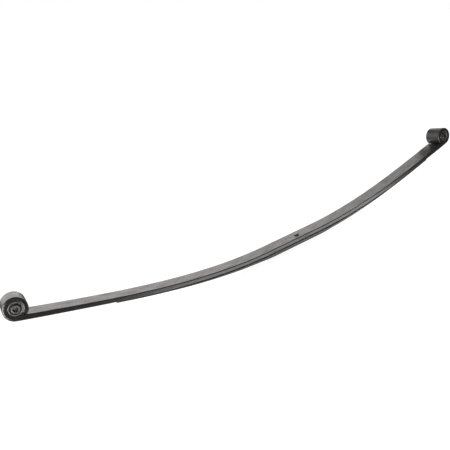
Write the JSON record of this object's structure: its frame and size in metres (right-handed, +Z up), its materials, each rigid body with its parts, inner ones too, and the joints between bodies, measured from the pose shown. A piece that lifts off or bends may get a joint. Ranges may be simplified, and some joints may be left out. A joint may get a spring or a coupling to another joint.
{
  "type": "leaf spring",
  "caption": "Concave-up two-leaf taper spring with upturned rolled eyes, rubber bushings and a centre bolt; its arms flex under load.",
  "frame": {"origin": "on the centre bolt's axis, at the seat's top face, where the bolt's round head stands", "axes": "+X along the spring towards the front (short arm's) eye, +Y across it along the eyes' axes, +Z up along the centre bolt"},
  "size_m": [1.6748, 0.068, 0.2241],
  "materials": {
    "leaf_paint": "satin dark grey paint",
    "bolt_steel": "satin dark grey paint",
    "bush_steel": "dull zinc",
    "bush_rubber": "matt black rubber"
  },
  "bodies": {
    "seat": {"main_leaf_seat": "leaf_paint", "second_leaf_seat": "leaf_paint", "centre_bolt": "bolt_steel", "centre_nut": "bolt_steel"},
    "main_front": {"main_leaf_front": "leaf_paint", "front_bush_shell": "bush_steel", "front_bush_rubber": "bush_rubber"},
    "main_rear": {"main_leaf_rear": "leaf_paint", "rear_bush_shell": "bush_steel", "rear_bush_rubber": "bush_rubber"},
    "second_front": {"second_leaf_front": "leaf_paint"},
    "second_rear": {"second_leaf_rear": "leaf_paint"},
    "front_sleeve": {"front_bush_sleeve": "bush_steel"},
    "rear_sleeve": {"rear_bush_sleeve": "bush_steel"}
  },
  "joints": [
    {"name": "main_front_flex", "type": "hinge", "parent": "seat", "child": "main_front", "pos_m": [0.24485, 0, 0.00214], "axis": [0, 1, 0], "range_deg": [-2, 14], "stiffness_Nm_per_rad": 4200},
    {"name": "main_rear_flex", "type": "hinge", "parent": "seat", "child": "main_rear", "pos_m": [-0.31253, 0, 0.0058], "axis": [0, -1, 0], "range_deg": [-2, 14], "stiffness_Nm_per_rad": 4000},
    {"name": "second_front_flex", "type": "hinge", "parent": "seat", "child": "second_front", "pos_m": [0.24586, 0, -0.00824], "axis": [0, 1, 0], "range_deg": [-2, 14], "stiffness_Nm_per_rad": 1800},
    {"name": "second_rear_flex", "type": "hinge", "parent": "seat", "child": "second_rear", "pos_m": [-0.31375, 0, -0.00429], "axis": [0, -1, 0], "range_deg": [-2, 14], "stiffness_Nm_per_rad": 1800},
    {"name": "front_sleeve_twist", "type": "hinge", "parent": "main_front", "child": "front_sleeve", "pos_m": [0.73698, 0, 0.11775], "axis": [0, 1, 0], "range_deg": [-20, 20], "stiffness_Nm_per_rad": 80},
    {"name": "rear_sleeve_twist", "type": "hinge", "parent": "main_rear", "child": "rear_sleeve", "pos_m": [-0.87431, 0, 0.15929], "axis": [0, 1, 0], "range_deg": [-20, 20], "stiffness_Nm_per_rad": 80}
  ],
  "couplings": [
    {"joint": "second_front_flex", "follows": "main_front_flex", "ratio": 1},
    {"joint": "second_rear_flex", "follows": "main_rear_flex", "ratio": 1}
  ]
}
